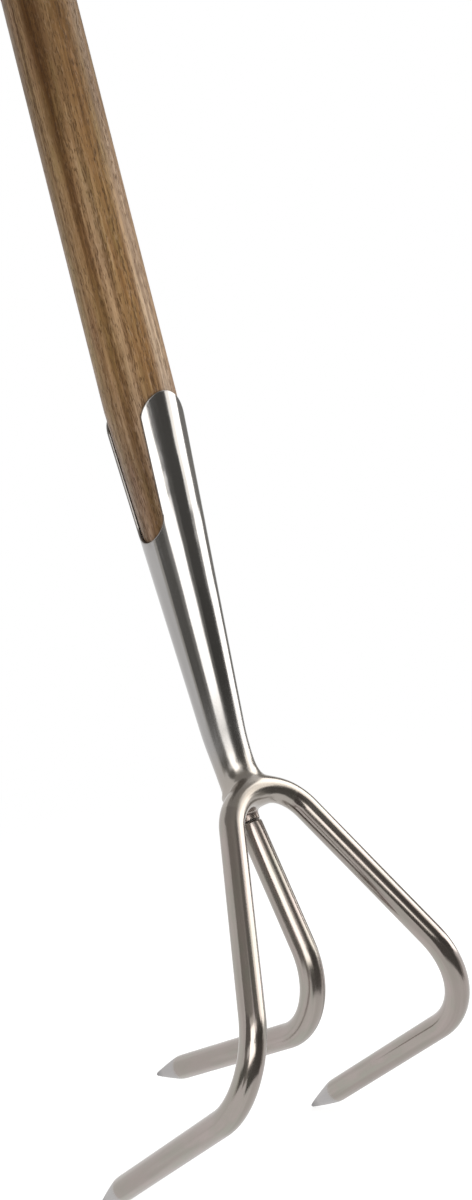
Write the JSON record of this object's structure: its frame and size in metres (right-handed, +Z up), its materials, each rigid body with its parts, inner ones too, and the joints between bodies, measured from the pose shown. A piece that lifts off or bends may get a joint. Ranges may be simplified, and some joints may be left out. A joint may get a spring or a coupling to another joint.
{
  "type": "garden cultivator",
  "caption": "Long-handled hand cultivator with bent round tines on an arched rod and a strapped tapered socket on a plain round wooden handle.",
  "frame": {"origin": "on the ground under the middle of the tool's outer box, with the tool standing on its outer tips", "axes": "+Z up along the handle, +X to the side across the mirror plane, the tips point to -Y"},
  "size_m": [0.1304, 0.145, 1.55],
  "materials": {
    "handle_wood": "oiled satin ash with long dark grain",
    "socket_steel": "polished stainless steel",
    "outer_tine_steel": "polished legs, satin prongs",
    "middle_tine_steel": "polished leg, satin prong",
    "weld_steel": "weld dressed smooth and polished",
    "screw_steel": "plain steel"
  },
  "bodies": {
    "root": {"handle": "handle_wood", "socket": "socket_steel", "outer_tines": "outer_tine_steel", "middle_tine": "middle_tine_steel", "tine_weld": "weld_steel", "strap_screw": "screw_steel"}
  },
  "joints": []
}
